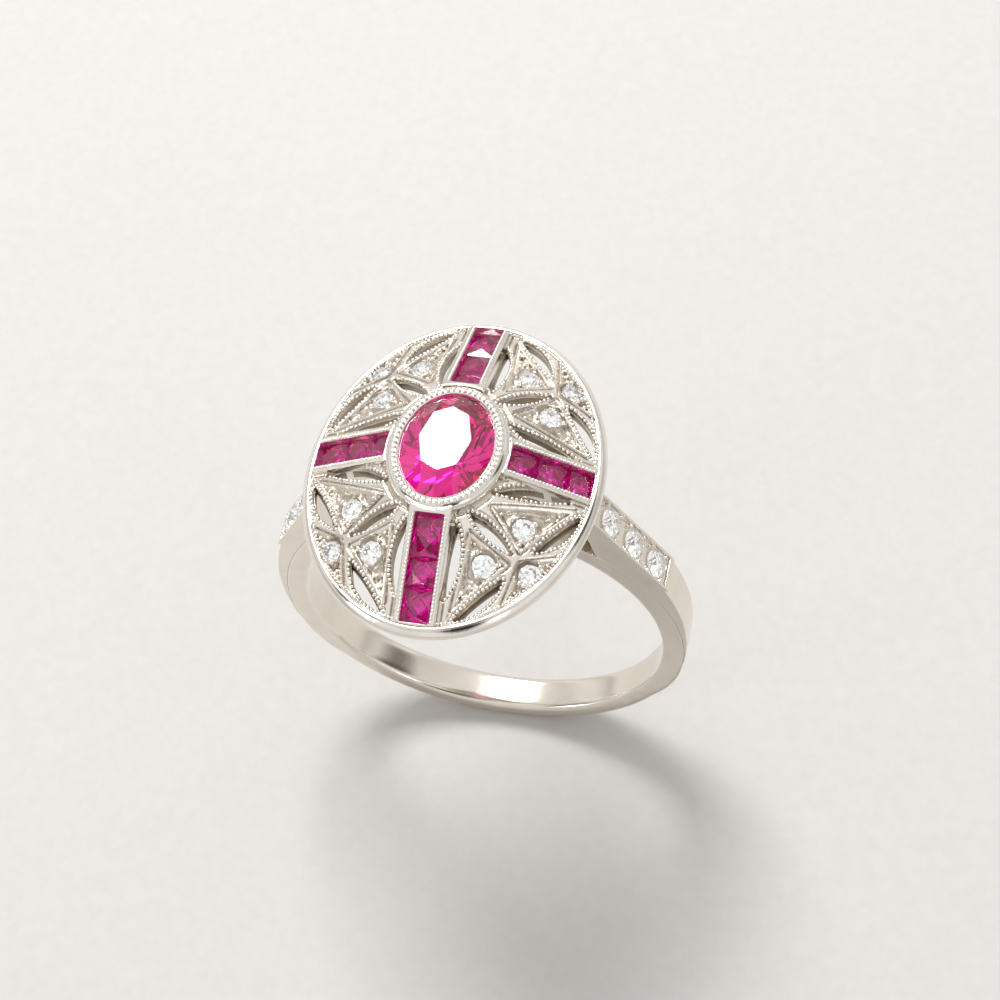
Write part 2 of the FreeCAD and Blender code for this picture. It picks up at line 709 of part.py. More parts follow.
def square_ruby(name, length_alias, frame, outer_end):
    """A square calibre stone: a girdle slab, a bevelled crown and a keeled pavilion."""
    length = f"(Sizes.{length_alias} - Sizes.ruby_gap)"
    wide = "Sizes.ruby_half_width"
    slab = doc.addObject("Part::Box", f"{name}_girdle")
    slab.setExpression("Length", length)
    slab.setExpression("Width", f"2 * {wide}")
    slab.setExpression("Height", "Sizes.ruby_girdle")
    slab.Placement.Base = FreeCAD.Vector(0, -size("ruby_half_width"), 0)
    shapes = [slab]
    ends = (
        ("crown", 90, "Sizes.ruby_girdle_depth - Sizes.ruby_table_depth",
         "Sizes.ruby_table_inset", "Sizes.ruby_table_half_width", size("ruby_girdle")),
        ("pavilion", -90, "Sizes.ruby_pavilion",
         "Sizes.ruby_keel_inset", "Sizes.ruby_keel_half_width", 0.0),
    )
    for word, turn, height, inset, narrow, level in ends:
        wedge = doc.addObject("Part::Wedge", f"{name}_{word}")
        wedge.Xmin = wedge.Ymin = 0
        for side, value in (("Xmax", length), ("Zmin", f"-{wide}"), ("Zmax", wide),
                            ("Ymax", height), ("X2min", inset), ("X2max", f"{length} - {inset}"),
                            ("Z2min", f"-{narrow}"), ("Z2max", narrow)):
            wedge.setExpression(side, value)
        wedge.Placement = FreeCAD.Placement(
            FreeCAD.Vector(0, 0, level), FreeCAD.Rotation(FreeCAD.Vector(1, 0, 0), turn))
        shapes.append(wedge)
    stone = combine("Part::MultiFuse", name, shapes)
    foot = -size("ruby_girdle_depth") - size("ruby_girdle")
    start = -outer_end - size(length_alias) + size("ruby_gap") / 2
    stone.Placement = frame * FreeCAD.Placement(FreeCAD.Vector(start, 0, foot), FreeCAD.Rotation())
    return stone


def arm_rubies(name, turn, kind):
    """Three square rubies in a row, numbered from the bezel outwards."""
    lengths = [f"{name}_ruby_{number}" for number in COUNT]
    outer_end = size(f"{kind}_run")
    for number, length in zip(COUNT, lengths):
        outer_end -= size(length)
        stone = f"ruby_{name}_{number}"
        keep(square_ruby(stone, length, arm_frame(turn, kind), outer_end))


# ---------------------------------------------------------------- pierced plate


def arc_through(first, second, bulge, side):
    """An arc between two points, bulging by so much to the left (1) or right (-1)."""
    along = second - first
    across = FreeCAD.Vector(-along.y, along.x, 0).normalize() * side
    return Part.Arc(first, (first + second) * 0.5 + across * bulge, second)


def opening_prisms():
    """The five openings of the north-east quarter, as columns through the plate."""
    columns = []
    for name in OPENINGS:
        body = new_body(f"{name}_column")
        sketch = new_sketch(body, f"{name}_outline", offset="Sizes.rim_level - 2")
        first, second = (FreeCAD.Vector(size(f"{name}_{tip}_x"), size(f"{name}_{tip}_y"), 0)
                         for tip in ("first", "second"))
        along = second - first
        outward = (first + second) * 0.5
        left = FreeCAD.Vector(-along.y, along.x, 0)
        outer_side = 1 if left.dot(outward) > 0 else -1
        bulges = ((size(f"{name}_inner_bulge"), -outer_side),
                  (size(f"{name}_outer_bulge"), outer_side))
        edges = []
        for bulge, side in bulges:
            edges.append(sketch.addGeometry(arc_through(first, second, bulge, side), False))
        for tip, point in (("first", first), ("second", second)):
            for edge in edges:
                ends = [sketch.getPoint(edge, 1), sketch.getPoint(edge, 2)]
                near = 1 if ends[0].distanceToPoint(point) < ends[1].distanceToPoint(point) else 2
                pin(sketch, edge, near, f"Sizes.{name}_{tip}_x", f"Sizes.{name}_{tip}_y",
                    point.x, point.y)
        half = along.Length / 2
        for edge, word in zip(edges, ("inner", "outer")):
            bulge = size(f"{name}_{word}_bulge")
            hold(sketch, "Radius", edge, (half**2 + bulge**2) / (2 * bulge))
        pad(body, sketch, f"{TALL}", f"{name}_pad")
        columns.append(body)
    return columns


def field_prisms():
    """Columns over the recessed fields of the north-east quarter."""
    columns = []
    for name, corners in FIELDS.items():
        body = new_body(f"{name}_column")
        sketch = new_sketch(body, f"{name}_outline", offset="Sizes.rim_level - 2")
        letters = "pqrvw"[:len(corners)]
        draw_polygon(sketch, [(*plus(f"{name}_{c}_x"), *plus(f"{name}_{c}_y")) for c in letters])
        pad(body, sketch, f"{TALL}", f"{name}_pad")
        columns.append(body)
    return columns


def head_diamond_place(alias):
    """Where a diamond sits: its girdle just under the floor of its recessed field."""
    x, y = size(f"{alias}_x"), size(f"{alias}_y")
    normal = dome_normal(x, y)
    floor = FreeCAD.Vector(x, y, dome_height(x, y) - size("recess_depth"))
    girdle = size("head_diamond_radius") * size("diamond_girdle_share")
    return FreeCAD.Placement(floor - normal * girdle, FreeCAD.Rotation(Z_AXIS, normal))


def pierced_panels(head_prism, blank):
    """Four quarters of the pierced dome with three diamonds each. The north-east one is
    made, and the others are its mirror images."""
    shell = combine("Part::Cut", "dome_shell", (
        dome_solid("dome_top", "0"), dome_solid("dome_under", "Sizes.plate_depth")))
    quarter = doc.addObject("Part::Box", "quarter_box")
    quarter.Length = quarter.Width = 12
    quarter.Height = 12
    for axis in ("x", "y"):
        quarter.setExpression(f"Placement.Base.{axis}", "Sizes.channel_half_width")
    quarter.setExpression("Placement.Base.z", "Sizes.rim_level - 4")
    rough = combine("Part::MultiCommon", "quarter_rough", [shell, head_prism, quarter])
    plate = combine("Part::Cut", "quarter_plate", (rough, blank))
    fields = combine("Part::MultiFuse", "field_columns", field_prisms())
    recess = combine("Part::Cut", "field_recess",
                     (fields, dome_solid("dome_floor", "Sizes.recess_depth")))
    seats, beads, stones = [], [], {}
    for alias, turns in HEAD_BEADS.items():
        place = head_diamond_place(alias)
        stones[alias] = keep(round_diamond(f"{alias}_ne", size("head_diamond_radius"), place))
        seats += seat_tool(f"{alias}_seat", "head_diamond_radius", place)
        reach = size("head_diamond_radius") + 0.07
        for turn in turns:
            x = size(f"{alias}_x") + reach * math.cos(math.radians(turn))
            y = size(f"{alias}_y") + reach * math.sin(math.radians(turn))
            where = FreeCAD.Vector(x, y, dome_height(x, y) - size("recess_depth"))
            upright = FreeCAD.Rotation(Z_AXIS, dome_normal(x, y))
            beads.append(bead(f"{alias}_bead_{turn % 360}", "head_bead_radius",
                              FreeCAD.Placement(where, upright)))
    cutters = combine("Part::MultiFuse", "plate_cutters", opening_prisms() + [recess] + seats)
    pierced = combine("Part::Cut", "plate_pierced", (plate, cutters))
    beaded = combine("Part::MultiFuse", "plate_beaded", [pierced] + beads)
    crowns = combine("Part::MultiFuse", "plate_crowns", list(stones.values()))
    east_west, north_south = FreeCAD.Vector(1, 0, 0), FreeCAD.Vector(0, 1, 0)
    panels = {"ne": keep(combine("Part::Cut", "panel_ne", (beaded, crowns)))}
    for corner, source, normal in (("nw", "ne", east_west), ("se", "ne", north_south),
                                   ("sw", "nw", north_south)):
        panels[corner] = keep(mirrored(panels[source], f"panel_{corner}", normal))
    for alias, stone in stones.items():
        copies = {"ne": stone}
        for corner, source, normal in (("nw", "ne", east_west), ("se", "ne", north_south),
                                       ("sw", "nw", north_south)):
            copies[corner] = keep(mirrored(copies[source], f"{alias}_{corner}", normal))


# ---------------------------------------------------------------- the ring


def build_ring():
    fill_sheet()
    band = keep(finger_band())
    keep(rim_band())
    head_prism = oval_prism("head_column", "rim_inner_x", "rim_inner_y",
                            "Sizes.rim_level - 4", f"{TALL}")
    blank = bezel_blank()
    ruby = keep(oval_ruby())
    keep(centre_bezel(blank, ruby, band))
    envelope = bezel_envelope(blank)
    channels = {}
    for name, turn, kind in ARMS:
        channels[name] = keep(channel(name, turn, kind, head_prism, envelope))
        arm_rubies(name, turn, kind)
    pierced_panels(head_prism, blank)
    shoulders(channels)


def check_document():
    """Stops on any failed object, and on any part that isn't one valid solid."""
    doc.recompute()
    for item in doc.Objects:
        if "Invalid" in item.State or "Error" in item.State:
            raise RuntimeError(f"{item.Label}: {item.State}")
    for part in parts:
        shape = part.Shape
        if shape.isNull() or not shape.isValid() or len(shape.Solids) != 1:
            raise RuntimeError(f"{part.Label} has {len(shape.Solids)} solids, "
                               f"valid {not shape.isNull() and shape.isValid()}")


def write_parts():
    os.makedirs("parts", exist_ok=True)
    for part in parts:
        part.Shape.exportStep(f"parts/{part.Label}.step")
        print(f"{part.Label}: {part.Shape.Volume:.3f} mm3")


build_ring()
check_document()
write_parts()
print(f"{len(parts)} parts")
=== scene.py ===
# Looks of a cocktail ring: a pierced oval head of white metal set with diamonds and
# square red stones around an oval red centre stone.
# Lengths are millimetres until make_piece turns them into metres. +Z runs up through the
# head, +Y along the finger hole, and the origin is the hole's centre.
import math

import bmesh
import bpy
import numpy as np
from mathutils import Matrix, Vector, noise
from mathutils.geometry import delaunay_2d_cdt


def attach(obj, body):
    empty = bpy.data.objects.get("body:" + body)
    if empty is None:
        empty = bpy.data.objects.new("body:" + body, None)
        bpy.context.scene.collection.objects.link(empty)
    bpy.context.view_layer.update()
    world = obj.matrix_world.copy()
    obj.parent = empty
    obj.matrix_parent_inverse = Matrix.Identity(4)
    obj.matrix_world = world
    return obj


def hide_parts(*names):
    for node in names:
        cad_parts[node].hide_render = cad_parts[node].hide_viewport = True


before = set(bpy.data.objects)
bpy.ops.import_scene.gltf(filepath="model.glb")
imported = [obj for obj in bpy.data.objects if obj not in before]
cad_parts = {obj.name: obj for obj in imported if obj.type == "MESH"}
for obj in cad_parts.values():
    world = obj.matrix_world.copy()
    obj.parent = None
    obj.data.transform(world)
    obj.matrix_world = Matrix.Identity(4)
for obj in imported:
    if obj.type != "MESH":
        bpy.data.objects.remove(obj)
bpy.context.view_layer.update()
MM = 0.001
chance = np.random.default_rng(11)

# ---------------------------------------------------------------- sizes

DOME = {"x": 6.57, "y": 8.09, "levels": ((0.35, 14.14), (0.7, 13.08), (1.15, 11.66))}
PLATE = 0.75
RIM_INNER = (6.62, 8.2)
RIM_BEAD_LINE = (6.5, 8.07)
BEZEL_BEAD_LINE = (2.44, 3.055)
BEZEL_TOP = 14.475
COLLAR = (2.62, 3.12)
BEZEL = (2.84, 3.38)
CHANNEL_HALF = 0.98

# The worked surface of the plate: ribs that fall to the openings, the groove and the raised
# edge around each field, the field's scoop, and the fine cut lines.
RIB = {"crown": 0.07, "crown_run": 0.3, "fall": 0.26, "fall_run": 0.22}
GROOVE = {"off": 0.15, "width": 0.05, "depth": 0.09}
EDGE = {"off": 0.05, "width": 0.035, "height": 0.04}
FIELD_DEPTH, FIELD_BROW, FIELD_SLOPE = 0.27, 0.02, 0.26
LINE = {"channel": 0.17, "bezel": 0.2, "width": 0.045, "depth": 0.08}

QUARTERS = {"ne": (1, 1), "nw": (-1, 1), "se": (1, -1), "sw": (-1, -1)}
# Spacing of the plate's mesh, and spacing, place and size of the rows of beads.
GRID = 0.045
MILGRAIN_PITCH = 0.21
MILGRAIN_INSET = 0.11
RIM_PITCH = 0.19
BEZEL_PITCH = 0.275
CHANNEL_PITCH = 0.18
MILGRAIN_RADIUS = 0.106

# Each opening: its two tips, then how far its inner and its outer side bulge. These and
# the fields and stones below are for the north-east quarter.
OPENINGS = {
    "petal": ((1.66, 3.0), (3.66, 4.24), 0.27, 0.27),
    "side_slot": ((1.16, 3.62), (1.1, 6.8), 0.12, 0.42),
    "arm_slot": ((2.55, 1.8), (5.6, 1.12), 0.42, 0.14),
    "arm_marquise": ((4.66, 3.9), (6.26, 1.62), 0.08, 0.4),
    "side_marquise": ((3.5, 5.55), (1.66, 7.66), 0.08, 0.4),
}
# Corners of the sunk fields that hold the small stones.
FIELDS = {
    "arm": ((2.62, 2.52), (4.06, 4.08), (6.0, 1.52)),
    "side": ((1.86, 3.98), (3.58, 4.86), (1.62, 7.26)),
    "rim": ((4.22, 4.62), (5.86, 3.86), (5.3, 4.85), (4.55, 5.75), (3.78, 6.52)),
}
# Centre of each small stone, and the turns in degrees at which its beads stand.
HEAD_STONES = {
    "arm_diamond": ((4.02, 3.05), (201, 88, -37)),
    "side_diamond": ((2.6, 5.1), (-123, -14, 112)),
    "rim_diamond": ((4.6, 4.95), (-50, -30, 103, 123)),
}
# Place and least radius of the beads that fill the fields' corners.
CORNER_GRAINS = (
    (2.98, 2.62, 0.08), (4.0, 3.8, 0.075), (5.0, 2.2, 0.1), (5.4, 1.92, 0.075),
    (2.08, 4.26, 0.08), (3.3, 4.88, 0.075), (2.16, 6.1, 0.1), (1.94, 6.6, 0.075),
    (5.28, 4.3, 0.095), (5.55, 4.1, 0.07), (4.12, 5.9, 0.1), (3.98, 6.18, 0.075),
)
SEAT_RADIUS = 0.535
BEAD_REACH = 0.6
LIGHT_HOLE = 0.28

# Each arm: its turn in degrees, the place of its outer end, its slope in degrees, its run.
ARMS = {
    "east": (0, 6.5, 25.7, 4.05), "north": (90, 8.05, 23.6, 4.97),
    "west": (180, 6.5, 25.7, 4.05), "south": (270, 8.05, 23.6, 4.97),
}
# Lengths of each arm's stones, from the centre outwards.
ARM_STONES = {
    "east": (1.45, 1.46, 1.14), "west": (1.1, 1.45, 1.5),
    "north": (1.27, 1.62, 2.08), "south": (2.0, 1.37, 1.6),
}
STONE_GAP = 0.024
RIM_LEVEL = 12.2
CHANNEL_BEADS = {"start": -0.1, "side": 0.76, "level": 0.16, "size": 0.085}

# The band: its inner and outer radius, how far the outer circle's centre drops, its half
# width, and the powers of its section's outer and inner sides at the back, then what the
# front adds.
BAND = {"inner": 9.07, "outer": 10.11, "drop": 0.26, "half": 0.9,
        "outer_power": (3.2, 40), "inner_power": (7, 36)}

CHANNEL_VOXEL, SHOULDER_VOXEL = 0.035, 0.0345
FLOOR_LEVEL = -10.375
FLOOR_HALF = 900.0
CAMERA_PLACE = (26.456, -58.009, 106.46)
CAMERA_AIM = (2.45, -1.197, 12.2)
CAMERA_ROLL = -12.868
CAMERA_LENS = 89.2


# ---------------------------------------------------------------- materials


def node(tree, kind, **settings):
    made = tree.nodes.new(kind)
    for key, value in settings.items():
        setattr(made, key, value)
    return made


def new_material(name):
    material = bpy.data.materials.new(name)
    material.use_nodes = True
    tree = material.node_tree
    return material, tree, tree.nodes["Principled BSDF"]


def place_noise(tree, scale, detail):
    """Noise in the object's own place, so many cycles to the millimetre."""
    where = node(tree, "ShaderNodeTexCoord")
    texture = node(tree, "ShaderNodeTexNoise")
    texture.inputs["Scale"].default_value = scale / MM
    texture.inputs["Detail"].default_value = detail
    tree.links.new(where.outputs["Object"], texture.inputs["Vector"])
    return texture


def ramp(tree, source, stops):
    made = node(tree, "ShaderNodeValToRGB")
    elements = made.color_ramp.elements
    while len(elements) < len(stops):
        elements.new(0.5)
    for element, (position, colour) in zip(elements, stops):
        element.position = position
        element.color = (*colour, 1)
    tree.links.new(source, made.inputs["Fac"])
    return made


def map_range(tree, source, low, high, start=0.3, end=0.7):
    made = node(tree, "ShaderNodeMapRange")
    made.inputs["From Min"].default_value = start
    made.inputs["From Max"].default_value = end
    made.inputs["To Min"].default_value = low
    made.inputs["To Max"].default_value = high
    tree.links.new(source, made.inputs["Value"])
    return made


def metal(name, bright, dull, low, high, bump, paint_recess_shade=False):
    """White metal: two close tones, with painted shade in the hollows and a touch lighter on
    convex edges, uneven polish and tiny dents, and where the mesh says so a brown-grey painted
    shade in the recesses, which are also made rougher."""
    material, tree, shader = new_material(name)
    shader.inputs["Metallic"].default_value = 1.0
    cloud = place_noise(tree, 0.9, 4)
    grain = place_noise(tree, 9.0, 3)
    tones = ramp(tree, cloud.outputs["Fac"], ((0.3, dull), (0.62, bright)))
    # Painted shade: the hollows, read from the mesh's pointiness, are painted darker, and convex
    # edges come out a touch lighter.
    hollow = node(tree, "ShaderNodeNewGeometry")
    edge = ramp(tree, hollow.outputs["Pointiness"],
                ((0.40, (0.42, 0.38, 0.33)), (0.485, (0.93, 0.91, 0.88)), (0.56, (1, 1, 1))))
    mix = node(tree, "ShaderNodeMix", data_type="RGBA", blend_type="MULTIPLY")
    mix.inputs["Factor"].default_value = 1.0
    tree.links.new(tones.outputs["Color"], mix.inputs["A"])
    tree.links.new(edge.outputs["Color"], mix.inputs["B"])
    polish = map_range(tree, grain.outputs["Fac"], low, high).outputs["Result"]
    colour = mix.outputs["Result"]
    # Painted shade: where the mesh's mark says so, the metal is painted brown-grey and made
    # rougher.
    if paint_recess_shade:
        mark = node(tree, "ShaderNodeAttribute", attribute_name="painted_recess_shade")
        brown = node(tree, "ShaderNodeMix", data_type="RGBA", blend_type="MULTIPLY")
        brown.inputs["B"].default_value = (0.5, 0.45, 0.385, 1)
        tree.links.new(mark.outputs["Fac"], brown.inputs["Factor"])
        tree.links.new(colour, brown.inputs["A"])
        colour = brown.outputs["Result"]
        rougher = node(tree, "ShaderNodeMath", operation="MULTIPLY_ADD")
        rougher.inputs[1].default_value = 0.25
        tree.links.new(mark.outputs["Fac"], rougher.inputs[0])
        tree.links.new(polish, rougher.inputs[2])
        polish = rougher.outputs["Value"]
    tree.links.new(colour, shader.inputs["Base Color"])
    tree.links.new(polish, shader.inputs["Roughness"])
    dents = node(tree, "ShaderNodeBump")
    dents.inputs["Strength"].default_value = bump
    dents.inputs["Distance"].default_value = 0.02 * MM
    tree.links.new(grain.outputs["Fac"], dents.inputs["Height"])
    tree.links.new(dents.outputs["Normal"], shader.inputs["Normal"])
    return material


def gem(name, colour, index, painted_glow, absorb=None, density=0.0, shine=0.5):
    """A clear faceted stone with faint clouds of colour and a faint painted glow."""
    material, tree, shader = new_material(name)
    shader.inputs["Transmission Weight"].default_value = 1.0
    shader.inputs["IOR"].default_value = index
    shader.inputs["Roughness"].default_value = 0.0
    # Painted glow: emission that brightens the stone, though it is no lamp.
    shader.inputs["Emission Color"].default_value = (*painted_glow[:3], 1)
    shader.inputs["Emission Strength"].default_value = painted_glow[3]
    shader.inputs["Specular IOR Level"].default_value = shine
    cloud = place_noise(tree, 0.55, 2)
    deep = tuple(c * 0.86 for c in colour)
    tones = ramp(tree, cloud.outputs["Fac"], ((0.35, deep), (0.65, colour)))
    tree.links.new(tones.outputs["Color"], shader.inputs["Base Color"])
    if absorb:
        body = node(tree, "ShaderNodeVolumeAbsorption")
        body.inputs["Color"].default_value = (*absorb, 1)
        body.inputs["Density"].default_value = density
        out = tree.nodes["Material Output"]
        tree.links.new(body.outputs["Volume"], out.inputs["Volume"])
    return material


# The plate metal carries the painted recess shade.
PLATE_METAL = metal("plate_metal", (0.885, 0.84, 0.785), (0.825, 0.775, 0.715), 0.1, 0.24, 0.25,
                    paint_recess_shade=True)
# Dark brown painted shade for the walls of the openings and the plate's underside; its roughness
# is that of unpolished metal.
WALL_METAL = metal("unpolished_metal_painted_shade", (0.40, 0.35, 0.28), (0.30, 0.26, 0.20), 0.35, 0.55, 0.4)
HEAD_METAL = metal("head_metal", (0.88, 0.845, 0.795), (0.81, 0.775, 0.72), 0.1, 0.24, 0.25)
POLISHED = metal("polished_metal", (0.895, 0.865, 0.82), (0.84, 0.805, 0.755), 0.08, 0.18, 0.12)
BAND_METAL = metal("band_metal", (0.86, 0.82, 0.75), (0.815, 0.77, 0.70), 0.13, 0.19, 0.015)
# The glow colour and strength given to each stone is a painted glow.
RUBY = gem("ruby", (0.94, 0.014, 0.44), 1.77, (1.0, 0.01, 0.3, 0.012), (1.0, 0.02, 0.62), 150,
           shine=0.36)
SQUARE_RUBY = gem("square_ruby", (0.66, 0.010, 0.35), 1.77, (1.0, 0.01, 0.5, 0.02),
                  (1.0, 0.03, 0.6), 240)
DIAMOND = gem("diamond", (0.985, 0.985, 0.99), 2.4, (0.95, 0.97, 1.0, 0.06))


# ---------------------------------------------------------------- meshes


def make_piece(name, verts, faces, material, replaces=(), smooth=True, sharp=40.0):
    mesh = bpy.data.meshes.new(name)
    mesh.from_pydata((np.asarray(verts, float) * MM).tolist(), [], faces)
    mesh.validate()
    piece = bpy.data.objects.new(name, mesh)
    bpy.context.scene.collection.objects.link(piece)
    return finish_piece(piece, material, replaces, smooth, sharp)


def finish_piece(piece, material, replaces=(), smooth=True, sharp=40.0):
    mesh = piece.data
    mesh.materials.clear()
    mesh.materials.append(material)
    mesh.polygons.foreach_set("use_smooth", [smooth] * len(mesh.polygons))
    if smooth:
        mesh.set_sharp_from_angle(angle=math.radians(sharp))
    mesh.update()
    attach(piece, "root")
    if replaces:
        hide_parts(*replaces)
    return piece


def apply_modifiers(piece):
    graph = bpy.context.evaluated_depsgraph_get()
    mesh = bpy.data.meshes.new_from_object(piece.evaluated_get(graph))
    piece.modifiers.clear()
    piece.data = mesh


def soft_cast(source, voxel, rounds, material):
    """A copy of a CAD node with the softened edges of a cast and polished piece."""
    name = f"cast_{source}"
    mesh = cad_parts[source].data.copy()
    piece = bpy.data.objects.new(name, mesh)
    bpy.context.scene.collection.objects.link(piece)
    remesh = piece.modifiers.new("remesh", "REMESH")
    remesh.mode = "VOXEL"
    remesh.voxel_size = voxel * MM
    soften = piece.modifiers.new("soften", "SMOOTH")
    soften.factor = 0.5
    soften.iterations = rounds
    apply_modifiers(piece)
    piece.data.name = name
    finish_piece(piece, material, (source,), True, 180)


def icosphere(rounds):
    """A unit ball's points and triangles."""
    form = bmesh.new()
    bmesh.ops.create_icosphere(form, subdivisions=rounds, radius=1.0)
    verts = np.array([v.co for v in form.verts])
    faces = np.array([[v.index for v in f.verts] for f in form.faces])
    form.free()
    return verts, faces


# The shape that every bead is stretched from.
BALL = icosphere(2)


def grains(name, spots, material=HEAD_METAL):
    """One piece made of many metal beads: spots lists centre, normal, along, and the half
    sizes along, across and out of the surface."""
    verts, faces = [], []
    count = 0
    for centre, normal, along, sizes in spots:
        up = Vector(normal).normalized()
        side = Vector(along) - up * Vector(along).dot(up)
        side = side.normalized() if side.length > 1e-6 else up.orthogonal().normalized()
        axes = np.array([side, up.cross(side), up])
        verts.append((BALL[0] * np.array(sizes)) @ axes + np.array(centre))
        faces.append(BALL[1] + count)
        count += len(BALL[0])
    return make_piece(name, np.vstack(verts), np.vstack(faces).tolist(), material,
                      sharp=180)


# ---------------------------------------------------------------- plane geometry


def arc_points(first, second, bulge, side, step=0.055):
    """Points along the arc between two tips, the last one left out."""
    a, b = np.array(first), np.array(second)
    span = np.linalg.norm(b - a)
    along = (b - a) / span
    across = np.array([-along[1], along[0]]) * side
    radius = (span**2 / 4 + bulge**2) / (2 * bulge)
    centre = (a + b) / 2 + across * (bulge - radius)
    half = math.asin(min(1.0, span / 2 / radius))
    count = max(4, math.ceil(2 * half * radius / step))
    turns = np.linspace(-half, half, count + 1)[:-1]
    return [centre + radius * (across * math.cos(t) + along * math.sin(t)) for t in turns]


def opening_outline(name):
    first, second, inner, outer = OPENINGS[name]
    a, b = np.array(first), np.array(second)
    along = b - a
    side = 1 if np.dot((-along[1], along[0]), (a + b) / 2) > 0 else -1
    there = arc_points(first, second, outer, side)
    back = arc_points(second, first, inner, side)
    return np.array(there + back)


def circle_points(centre, radius, count=40):
    turns = np.arange(count) * 2 * math.pi / count
    return np.c_[centre[0] + radius * np.cos(turns), centre[1] + radius * np.sin(turns)]


def ellipse_run(half, start, end, step=0.06):
    """Points of an ellipse between two of its angles."""
    length = abs(end - start) * (half[0] + half[1]) / 2
    turns = np.linspace(start, end, max(4, math.ceil(length / step)) + 1)
    return [np.array([half[0] * math.cos(t), half[1] * math.sin(t)]) for t in turns]


def quarter_outline():
    """Edge of the north-east quarter: two channels, the rim and the collar."""
    low = CHANNEL_HALF

    def turn_at(half, x=None, y=None):
        return math.acos(x / half[0]) if x else math.asin(y / half[1])

    rim = ellipse_run(RIM_INNER, turn_at(RIM_INNER, y=low), turn_at(RIM_INNER, x=low))
    collar = ellipse_run(COLLAR, turn_at(COLLAR, x=low), turn_at(COLLAR, y=low))
    down = np.linspace(rim[-1][1], collar[0][1], 70)[1:-1]
    out = np.linspace(collar[-1][0], rim[0][0], 60)[1:-1]
    return np.array(rim + [np.array([low, y]) for y in down] + collar
                    + [np.array([x, low]) for x in out])


def inside(points, polygon):
    x, y = points[:, 0][:, None], points[:, 1][:, None]
    x0, y0 = polygon[:, 0], polygon[:, 1]
    x1, y1 = np.roll(x0, -1), np.roll(y0, -1)
    crosses = (y0 > y) != (y1 > y)
    with np.errstate(divide="ignore", invalid="ignore"):
        at = (x1 - x0) * (y - y0) / (y1 - y0) + x0
    return (crosses & (x < at)).sum(1) % 2 == 1


def distance(points, polygon):
    """How far points are from a closed outline."""
    best = np.full(len(points), 1e9)
    for a, b in zip(polygon, np.roll(polygon, -1, axis=0)):
        along = b - a
        t = np.clip((points - a) @ along / max(along @ along, 1e-12), 0, 1)
        best = np.minimum(best, np.linalg.norm(points - a - t[:, None] * along, axis=1))
    return best


def signed(points, polygon):
    """Distance to an outline, negative inside it."""
    return distance(points, polygon) * np.where(inside(points, polygon), -1, 1)


def resample(outline, pitch):
    """Evenly spaced points of a closed outline and their directions."""
    closed = np.vstack([outline, outline[:1]])
    runs = np.linalg.norm(np.diff(closed, axis=0), axis=1)
    length = np.r_[0, np.cumsum(runs)]
    count = max(3, round(length[-1] / pitch))
    where = np.arange(count) * length[-1] / count
    spots = np.c_[np.interp(where, length, closed[:, 0]), np.interp(where, length, closed[:, 1])]
    along = np.roll(spots, -1, axis=0) - np.roll(spots, 1, axis=0)
    return spots, along / np.maximum(np.linalg.norm(along, axis=1)[:, None], 1e-9)


def smooth(t):
    t = np.clip(t, 0, 1)
    return t * t * (3 - 2 * t)


def ridge(offset, width):
    """One where the offset is nothing, dying away smoothly over the width."""
    return np.exp(-(offset / width)**2)


# ---------------------------------------------------------------- pierced plate


def dome_level(x, y):
    (low, low_z), (mid, mid_z), (high, high_z) = DOME["levels"]
    share = np.hypot(np.asarray(x) / DOME["x"], np.asarray(y) / DOME["y"])
    first = (mid_z - low_z) / (mid - low)
    second = (high_z - mid_z) / (high - mid)
    bend = (second - first) / (high - low)
    return low_z + first * (share - low) + bend * (share - low) * (share - mid)


OUTLINES = {name: opening_outline(name) for name in OPENINGS}
FIELD_OUTLINES = {name: np.array(corners) for name, corners in FIELDS.items()}


def gaps(points):
    """Distance to the nearest opening and to the nearest field, negative inside a field."""
    gap = np.full(len(points), 1e9)
    for outline in OUTLINES.values():
        gap = np.minimum(gap, distance(points, outline))
    field = np.full(len(points), 1e9)
    for outline in FIELD_OUTLINES.values():
        field = np.minimum(field, signed(points, outline))
    return gap, field


def engraved(points):
    """Strength of the fine lines cut beside the channels and around the bezel."""
    beside = points.min(1) - CHANNEL_HALF
    around = (np.hypot(points[:, 0] / BEZEL[0], points[:, 1] / BEZEL[1]) - 1) * sum(BEZEL) / 2
    return np.maximum(ridge(beside - LINE["channel"], LINE["width"]),
                      ridge(around - LINE["bezel"], LINE["width"]))


def relief(points):
    """Height of the worked surface over the plain dome, for the north-east quarter: ribs
    that fall away to the openings, a fine raised edge round each scooped field, and a
    collar of metal round each stone."""
    gap, field = gaps(points)
    height = RIB["crown"] * smooth(gap / RIB["crown_run"])
    height -= RIB["fall"] * (1 - smooth(gap / RIB["fall_run"]))
    outside = np.maximum(field, 0)
    clear = smooth((gap - 0.2) / 0.1)
    groove = ridge(outside - GROOVE["off"], GROOVE["width"]) * (field > 0)
    height -= GROOVE["depth"] * groove * clear
    height -= LINE["depth"] * engraved(points) * (field > EDGE["off"]) * clear
    height += EDGE["height"] * ridge(field - EDGE["off"], EDGE["width"])
    height -= FIELD_DEPTH * smooth((FIELD_BROW - field) / FIELD_SLOPE)
    for centre, _ in HEAD_STONES.values():
        reach = np.linalg.norm(points - np.array(centre), axis=1)
        lift = ridge(np.maximum(reach - BEAD_REACH, 0), 0.06) * (field < FIELD_BROW)
        height = height * (1 - lift) + np.maximum(height, -0.075) * lift
        height += 0.05 * ridge(reach - 0.7, 0.045) * (field < FIELD_BROW)
    return height


